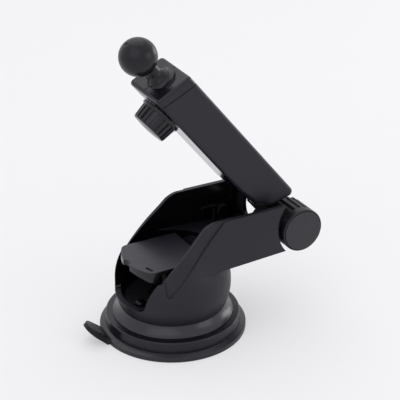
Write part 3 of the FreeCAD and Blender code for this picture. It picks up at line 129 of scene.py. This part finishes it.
def facing_middle(tree):
    """1 on faces of the walls that look towards the middle plane."""
    where = tree.nodes.new("ShaderNodeTexCoord")
    sides = [tree.nodes.new("ShaderNodeSeparateXYZ") for _ in range(2)]
    tree.links.new(where.outputs["Normal"], sides[0].inputs[0])
    tree.links.new(where.outputs["Object"], sides[1].inputs[0])
    product = tree.nodes.new("ShaderNodeMath")
    product.operation = "MULTIPLY"
    tree.links.new(sides[0].outputs["Y"], product.inputs[0])
    tree.links.new(sides[1].outputs["Y"], product.inputs[1])
    return between(tree, product.outputs[0], 1, 0, -0.002, -0.0005)


def beyond_x(tree, near, far):
    """0 up to one place along X and 1 past the other."""
    where = tree.nodes.new("ShaderNodeTexCoord")
    split = tree.nodes.new("ShaderNodeSeparateXYZ")
    tree.links.new(where.outputs["Object"], split.inputs[0])
    return between(tree, split.outputs["X"], 1, 0, far, near)


def change_where(tree, shader, mask, color=None, rough=None, specular=None):
    """Give the masked faces another colour, roughness or sheen."""
    for socket, value in (("Base Color", color), ("Roughness", rough), ("Specular IOR Level", specular)):
        if value is None:
            continue
        mix = tree.nodes.new("ShaderNodeMix")
        is_color = socket == "Base Color"
        mix.data_type = "RGBA" if is_color else "FLOAT"
        first, second = (6, 7) if is_color else (2, 3)
        target = shader.inputs[socket]
        if target.is_linked:
            tree.links.new(target.links[0].from_socket, mix.inputs[first])
        else:
            mix.inputs[first].default_value = target.default_value
        mix.inputs[second].default_value = (*value, 1) if is_color else value
        tree.links.new(mask, mix.inputs[0])
        tree.links.new(mix.outputs[2 if is_color else 0], target)


BLOTCH_CELLS = 45           # cells per metre
GLOSS_CELLS = 260
COOL_SHEEN = (0.94, 0.94, 1, 1)


def plastic(name, dark, light, rough, grain=3200, grain_height=0.00003, strength=0.35,
            specular=0.5, edge=0.0004):
    """Moulded black plastic: fine grain, uneven gloss and a slight change of tone."""
    material, tree, shader = new_material(name)
    broad = noise(tree, BLOTCH_CELLS, 3)
    fine = noise(tree, grain, 2, 0.6)
    tree.links.new(tint(tree, between(tree, broad.outputs["Fac"], 0, 1), dark, light),
                   shader.inputs["Base Color"])
    tree.links.new(between(tree, noise(tree, GLOSS_CELLS, 4).outputs["Fac"], rough[0], rough[1]),
                   shader.inputs["Roughness"])
    shader.inputs["Specular IOR Level"].default_value = specular
    shader.inputs["Specular Tint"].default_value = COOL_SHEEN
    bump(tree, shader, fine.outputs["Fac"], strength, grain_height, edge)
    return material


LINE_CELLS = 900
LINE_STRETCH = (1, 1, 12)


def metal(name, dark, light, rough):
    """Turned or plated metal with fine lines."""
    material, tree, shader = new_material(name)
    where = tree.nodes.new("ShaderNodeTexCoord")
    scale = tree.nodes.new("ShaderNodeMapping")
    scale.inputs["Scale"].default_value = LINE_STRETCH
    lines = tree.nodes.new("ShaderNodeTexNoise")
    lines.inputs["Scale"].default_value = LINE_CELLS
    lines.inputs["Detail"].default_value = 3
    tree.links.new(where.outputs["Object"], scale.inputs["Vector"])
    tree.links.new(scale.outputs["Vector"], lines.inputs["Vector"])
    tree.links.new(tint(tree, between(tree, lines.outputs["Fac"], 0, 1), dark, light),
                   shader.inputs["Base Color"])
    tree.links.new(between(tree, lines.outputs["Fac"], rough[0], rough[1]), shader.inputs["Roughness"])
    shader.inputs["Metallic"].default_value = 1
    bump(tree, shader, lines.outputs["Fac"], 0.25, 0.00002)
    return material


LOOKS = {
    "cup_rubber": plastic("cup_rubber", (0.010, 0.010, 0.013), (0.014, 0.014, 0.018), (0.28, 0.38), 900,
                          0.00004, 0.3, specular=0.5),
    "dot_rubber": plastic("dot_rubber", (0.05, 0.05, 0.056), (0.07, 0.07, 0.076), (0.2, 0.3), 900,
                          specular=0.8, edge=0),
    "gel": plastic("gel", (0.03, 0.03, 0.032), (0.05, 0.05, 0.052), (0.25, 0.4), 600),
    "ring_plastic": plastic("ring_plastic", (0.005, 0.005, 0.008), (0.008, 0.008, 0.012), (0.26, 0.34),
                            2600, 0.00002, 0.25, specular=0.4),
    "skirt_plastic": plastic("skirt_plastic", (0.004, 0.004, 0.008), (0.006, 0.006, 0.011), (0.20, 0.27),
                             1500, 0.00001, 0.15, specular=0.6),
    "shell_plastic": plastic("shell_plastic", (0.008, 0.008, 0.0125), (0.011, 0.011, 0.0155),
                             (0.40, 0.48), specular=0.34),
    "lever_plastic": plastic("lever_plastic", (0.014, 0.014, 0.0205), (0.019, 0.019, 0.0255), (0.30, 0.38),
                             2600, 0.00002, 0.25, specular=0.45),
    "arm_plastic": plastic("arm_plastic", (0.008, 0.008, 0.0125), (0.011, 0.011, 0.0155), (0.36, 0.44),
                           specular=0.36),
    "cap_plastic": plastic("cap_plastic", (0.004, 0.004, 0.007), (0.006, 0.006, 0.009), (0.20, 0.28),
                           1500, 0.00001, 0.15, specular=0.42),
    "ball_plastic": plastic("ball_plastic", (0.003, 0.003, 0.005), (0.005, 0.005, 0.007), (0.22, 0.30),
                            1200, 0.00003, 0.3, specular=0.34),
    "knob_plastic": plastic("knob_plastic", (0.007, 0.007, 0.008), (0.011, 0.011, 0.012), (0.38, 0.46),
                            specular=0.38),
    "knob_face": plastic("knob_face", (0.009, 0.009, 0.012), (0.012, 0.012, 0.015), (0.26, 0.34),
                         1500, 0.00001, 0.15, specular=0.55),
    "inner_plastic": plastic("inner_plastic", (0.006, 0.006, 0.007), (0.010, 0.010, 0.011),
                             (0.42, 0.52), specular=0.3),
    "nylon": plastic("nylon", (0.50, 0.50, 0.47), (0.58, 0.58, 0.55), (0.45, 0.55), 900),
    "steel": metal("steel", (0.10, 0.10, 0.11), (0.17, 0.17, 0.18), (0.30, 0.42)),
    "brass": metal("brass", (0.62, 0.46, 0.20), (0.72, 0.55, 0.27), (0.22, 0.32)),
    "black_steel": metal("black_steel", (0.02, 0.02, 0.022), (0.035, 0.035, 0.038), (0.30, 0.42)),
}

ARM_TILT = math.radians(50.7)
UNDER_ARM = (-math.sin(ARM_TILT), 0, -math.cos(ARM_TILT))
UPWARDS = (0, 0, 1)
TAB_STARTS, TAB_FULL = -0.0345, -0.036      # along X


def open_look(name):
    """The node tree and the shader of a look."""
    tree = LOOKS[name].node_tree
    shader = next(node for node in tree.nodes if node.type == "BSDF_PRINCIPLED")
    return tree, shader


# the shells' inner walls, the arm's underside, the pull tab, and the lever below its flat top
tree, shader = open_look("shell_plastic")
# painted shade: the walls' faces towards the middle plane are darkened nearly to black for the shade
# between the walls; they are also made glossier
change_where(tree, shader, facing_middle(tree), (0.003, 0.003, 0.0035), 0.17, 0.3)
tree, shader = open_look("arm_plastic")
change_where(tree, shader, facing(tree, UNDER_ARM, 0.9, 0.98), (0.006, 0.006, 0.007), 0.11, 0.9)
tree, shader = open_look("cup_rubber")
change_where(tree, shader, beyond_x(tree, TAB_STARTS, TAB_FULL), (0.003, 0.003, 0.004), 0.4, 0.25)
tree, shader = open_look("lever_plastic")
# painted shade: the lever's faces below its flat top are darkened as if in shade; their roughness also
# drops a little
change_where(tree, shader, facing(tree, UPWARDS, 0.9, 0.5), (0.008, 0.008, 0.009), 0.25, 0.4)

NODE_LOOK = {entry["node"]: entry["material_slot"] for entry in frame["record"]["subparts"]}
NODE_LOOK["base_screws"] = "black_steel"
NODE_LOOK["lock_nut"] = "black_steel"
NODE_LOOK["knob_cap"] = "knob_face"


def paint(thing, look):
    thing.data.materials.clear()
    thing.data.materials.append(LOOKS[look])


for node_name, node in frame["nodes"].items():
    paint(node, NODE_LOOK[node_name])


# ---------------------------------------------------------------- raised dots on the pull tab

TAB_ROOT = Vector((-32.7, 0, 2.0)) * MM
TAB_TIP = Vector((-42.31, 0, 9.75)) * MM
TAB_TURN = math.radians(-5)
DOT_RADIUS = 0.42 * MM
DOT_RISE = 0.3 * MM
DOT_STEPS = 12
DOT_PROFILE = ((1.0, -0.4), (1.0, 0.0), (0.86, 0.5), (0.5, 0.87), (0.15, 1.0))     # radius, rise
DOT_ROWS = (4.6, 5.9, 7.2, 8.5, 9.8, 11.1)      # millimetres from the root
ODD_ROW = (-3, -1.5, 0, 1.5, 3)
EVEN_ROW = (-3.7, -2.2, -0.75, 0.75, 2.2, 3.7)
TIP_LIMITS = ((8, 3.4), (10, 2.5))      # past this distance, no dot further out than this


def dot_rings(centre, along, across, up):
    """Rings of a low dome that sinks a little into the tab."""
    rings = []
    for share, rise in DOT_PROFILE:
        rings.append([
            centre + up * DOT_RISE * rise
            + (along * math.cos(step * math.tau / DOT_STEPS)
               + across * math.sin(step * math.tau / DOT_STEPS)) * DOT_RADIUS * share
            for step in range(DOT_STEPS)
        ])
    return rings


def make_tab_dots():
    """Staggered rows of small domes on the tab's upper face."""
    turn = Matrix.Rotation(TAB_TURN, 3, "Z")
    along = turn @ (TAB_TIP - TAB_ROOT).normalized()
    across = turn @ Vector((0, 1, 0))
    up = along.cross(across).normalized()
    if up.z < 0:
        up = -up
    start = turn @ TAB_ROOT
    vertices, faces = [], []
    levels = len(DOT_PROFILE) - 1
    for row, distance in enumerate(DOT_ROWS):
        for side in ODD_ROW if row % 2 else EVEN_ROW:
            if any(distance > start and abs(side) > limit for start, limit in TIP_LIMITS):
                continue
            centre = start + along * distance * MM + across * side * MM
            first = len(vertices)
            for ring in dot_rings(centre, along, across, up):
                vertices += ring
            for level in range(levels):
                for step in range(DOT_STEPS):
                    after = (step + 1) % DOT_STEPS
                    low = first + level * DOT_STEPS
                    faces.append((low + step, low + after, low + DOT_STEPS + after,
                                  low + DOT_STEPS + step))
            faces.append(tuple(first + levels * DOT_STEPS + step for step in range(DOT_STEPS)))
            faces.append(tuple(first + step for step in reversed(range(DOT_STEPS))))
    mesh = bpy.data.meshes.new("tab_dots")
    mesh.from_pydata([tuple(v) for v in vertices], [], faces)
    mesh.shade_smooth()
    dots = bpy.data.objects.new("tab_dots", mesh)
    scene.collection.objects.link(dots)
    mesh.materials.append(LOOKS["dot_rubber"])
    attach(dots, "base")


make_tab_dots()


# ---------------------------------------------------------------- stage, light and camera

def area_light(name, place, target, width, height, power):
    data = bpy.data.lights.new(name, "AREA")
    data.shape = "RECTANGLE"
    data.size = width
    data.size_y = height
    data.energy = power
    lamp = bpy.data.objects.new(name, data)
    scene.collection.objects.link(lamp)
    lamp.location = place
    lamp.rotation_mode = "QUATERNION"
    lamp.rotation_quaternion = (Vector(target) - Vector(place)).to_track_quat("-Z", "Y")


def white_for_rays(tree, surface, white):
    """Mix in plain white for what the camera, mirrors and glass see."""
    path = tree.nodes.new("ShaderNodeLightPath")
    first = tree.nodes.new("ShaderNodeMath")
    first.operation = "MAXIMUM"
    second = tree.nodes.new("ShaderNodeMath")
    second.operation = "MAXIMUM"
    tree.links.new(path.outputs["Is Camera Ray"], first.inputs[0])
    tree.links.new(path.outputs["Is Glossy Ray"], first.inputs[1])
    tree.links.new(first.outputs[0], second.inputs[0])
    tree.links.new(path.outputs["Is Transmission Ray"], second.inputs[1])
    mix = tree.nodes.new("ShaderNodeMixShader")
    tree.links.new(second.outputs[0], mix.inputs[0])
    tree.links.new(surface, mix.inputs[1])
    tree.links.new(white, mix.inputs[2])
    return mix.outputs[0]


WORLD_LIGHT = 0.8
BACKDROP = (0.905, 0.905, 0.925, 1)


def make_world():
    """Even light from all sides, with a pale backdrop where it is seen."""
    world = bpy.data.worlds.new("studio")
    scene.world = world
    world.use_nodes = True
    tree = world.node_tree
    tree.nodes.clear()
    out = tree.nodes.new("ShaderNodeOutputWorld")
    lit = tree.nodes.new("ShaderNodeBackground")
    lit.inputs["Color"].default_value = (1, 1, 1, 1)
    lit.inputs["Strength"].default_value = WORLD_LIGHT
    seen = tree.nodes.new("ShaderNodeBackground")
    seen.inputs["Color"].default_value = BACKDROP
    seen.inputs["Strength"].default_value = 1.0
    tree.links.new(white_for_rays(tree, lit.outputs[0], seen.outputs[0]), out.inputs["Surface"])


FLOOR_HALF = 3.0
FLOOR_DROP = 0.0001
FLOOR_PLAIN = 0.45          # share of the plain backdrop colour in what the camera sees


def make_floor():
    """White floor that keeps a softened shadow."""
    mesh = bpy.data.meshes.new("floor")
    sides = ((-1, -1), (1, -1), (1, 1), (-1, 1))
    mesh.from_pydata([(x * FLOOR_HALF, y * FLOOR_HALF, 0) for x, y in sides], [], [(0, 1, 2, 3)])
    floor = bpy.data.objects.new("floor", mesh)
    scene.collection.objects.link(floor)
    floor.location.z = -FLOOR_DROP
    material, tree, shader = new_material("floor_white")
    fine = noise(tree, 90, 3)
    tree.links.new(tint(tree, fine.outputs["Fac"], (0.90, 0.90, 0.915), (0.915, 0.915, 0.93)),
                   shader.inputs["Base Color"])
    shader.inputs["Roughness"].default_value = 0.75
    shader.inputs["Specular IOR Level"].default_value = 0.0
    plain = tree.nodes.new("ShaderNodeEmission")
    plain.inputs["Color"].default_value = (0.905, 0.905, 0.92, 1)
    path = tree.nodes.new("ShaderNodeLightPath")
    share = tree.nodes.new("ShaderNodeMath")
    share.operation = "MULTIPLY"
    share.inputs[1].default_value = FLOOR_PLAIN
    tree.links.new(path.outputs["Is Camera Ray"], share.inputs[0])
    mix = tree.nodes.new("ShaderNodeMixShader")
    out = next(node for node in tree.nodes if node.type == "OUTPUT_MATERIAL")
    tree.links.new(share.outputs[0], mix.inputs[0])
    tree.links.new(shader.outputs[0], mix.inputs[1])
    tree.links.new(plain.outputs[0], mix.inputs[2])
    tree.links.new(mix.outputs[0], out.inputs["Surface"])
    mesh.materials.append(material)
    floor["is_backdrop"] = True


make_world()
make_floor()

lo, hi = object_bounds()
middle = (lo + hi) / 2
area_light("key", (-0.55, -0.45, 0.75), middle, 0.9, 0.9, 1.15)
area_light("fill", (0.6, -0.7, 0.35), middle, 0.5, 0.5, 0.7)
area_light("top", (0.1, 0.35, 0.9), middle, 0.8, 0.8, 1.4)
area_light("rim", (0.9, 0.15, 0.22), middle, 0.45, 0.3, 1.0)

AZIMUTH = math.radians(28.96)
ELEVATION = math.radians(26.18)
DISTANCE = 0.6
SENSOR_WIDTH = 36
LENS = 118.2447             # millimetres, as the sensor
TARGET = Vector((0.01464, 0, 0.06103))
back = Vector((-math.sin(AZIMUTH) * math.cos(ELEVATION), -math.cos(AZIMUTH) * math.cos(ELEVATION),
               math.sin(ELEVATION)))
camera_data = bpy.data.cameras.new("camera")
camera_data.sensor_width = SENSOR_WIDTH
camera_data.lens = LENS
camera = bpy.data.objects.new("camera", camera_data)
scene.collection.objects.link(camera)
camera.location = TARGET + back * DISTANCE
camera.rotation_mode = "QUATERNION"
camera.rotation_quaternion = (-back).to_track_quat("-Z", "Y")
scene.camera = camera
